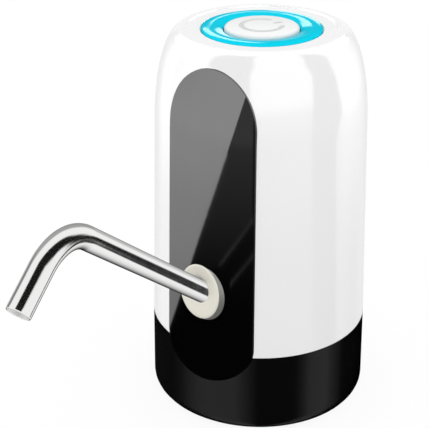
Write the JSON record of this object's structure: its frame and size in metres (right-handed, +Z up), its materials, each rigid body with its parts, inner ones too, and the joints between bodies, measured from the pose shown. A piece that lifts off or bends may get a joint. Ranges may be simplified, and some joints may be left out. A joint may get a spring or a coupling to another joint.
{
  "type": "bottled water pump",
  "caption": "Rechargeable pump that stands on the neck of a large water bottle, with a push button in a light ring on top and a bent steel spout at the front.",
  "frame": {"origin": "on the floor under the middle of the whole pump, spout included", "axes": "+Z up, the spout and the front panel face -Y, +X is on the right of someone who faces the panel"},
  "size_m": [0.074, 0.166, 0.1297],
  "materials": {
    "white_shell": "gloss white ABS",
    "black_collar": "gloss black ABS",
    "black_panel": "piano black acrylic",
    "cyan_ring": "gloss cyan light guide",
    "white_button": "satin white ABS",
    "cream_silicone": "smooth cream silicone",
    "polished_steel": "polished stainless steel",
    "clear_silicone": "smooth pale silicone",
    "grey_silicone": "smooth grey silicone",
    "white_plastic": "natural moulded plastic",
    "black_plastic": "moulded black plastic",
    "grey_plastic": "moulded grey plastic",
    "green_board": "green solder mask",
    "lamp_white": "lamp lens",
    "zinc_steel": "zinc-plated steel",
    "motor_steel": "plated drawn steel",
    "ferrite": "bare ferrite",
    "brass": "turned brass",
    "black_foam": "soft black foam rubber",
    "blue_wrap": "blue shrink wrap on a lithium cell"
  },
  "bodies": {
    "housing": {"upper_shell": "white_shell", "base_collar": "black_collar", "front_panel": "black_panel", "light_ring": "cyan_ring", "spout_grommet": "cream_silicone", "outlet_socket": "white_plastic", "outlet_hose": "clear_silicone", "inlet_nipple": "white_plastic", "inlet_washer": "grey_silicone", "inlet_hose": "clear_silicone", "neck_gasket": "grey_silicone", "chassis": "grey_plastic", "battery_cell": "blue_wrap", "battery_board": "green_board", "motor_can": "motor_steel", "motor_end_cap": "black_plastic", "motor_magnet_1": "ferrite", "motor_magnet_2": "ferrite", "motor_damper": "black_foam", "crank_case": "white_plastic", "wobble_plate": "white_plastic", "diaphragm": "clear_silicone", "valve_plate": "white_plastic", "valve_sheet": "clear_silicone", "pump_cover": "white_plastic", "pump_screw_1": "zinc_steel", "pump_screw_2": "zinc_steel", "pump_screw_3": "zinc_steel", "motor_screw_1": "zinc_steel", "motor_screw_2": "zinc_steel", "control_board": "green_board", "board_screw_1": "zinc_steel", "board_screw_2": "zinc_steel", "tact_switch": "black_plastic", "led_1": "lamp_white", "led_2": "lamp_white", "led_3": "lamp_white", "led_4": "lamp_white", "led_5": "lamp_white", "led_6": "lamp_white", "usb_port": "motor_steel", "charge_board": "green_board", "base_screw_1": "zinc_steel", "base_screw_2": "zinc_steel", "base_screw_3": "zinc_steel", "base_screw_4": "zinc_steel"},
    "button": {"power_button": "white_button"},
    "plunger": {"tact_plunger": "white_plastic"},
    "rotor": {"motor_armature": "zinc_steel", "crank": "brass"},
    "sleeve": {"spout_sleeve": "clear_silicone"},
    "spout": {"spout_tube": "polished_steel"}
  },
  "joints": [
    {"name": "button_press", "type": "slide", "parent": "housing", "child": "button", "axis": [0, 0, -1], "range_m": [0, 0.0005], "stiffness_N_per_m": 1500},
    {"name": "plunger_press", "type": "slide", "parent": "housing", "child": "plunger", "axis": [0, 0, -1], "range_m": [0, 0.0005]},
    {"name": "rotor_spin", "type": "hinge", "parent": "housing", "child": "rotor", "pos_m": [0.0135, 0.05004, 0.0852], "axis": [0, 0, 1], "continuous": true},
    {"name": "spout_swivel", "type": "hinge", "parent": "housing", "child": "sleeve", "pos_m": [0, 0.00958, 0.0504], "axis": [0, -0.7965, 0.6046], "continuous": true},
    {"name": "spout_pull", "type": "slide", "parent": "sleeve", "child": "spout", "axis": [0, -0.7965, 0.6046], "range_m": [0, 0.026]}
  ],
  "couplings": [
    {"joint": "plunger_press", "follows": "button_press", "ratio": 1}
  ]
}
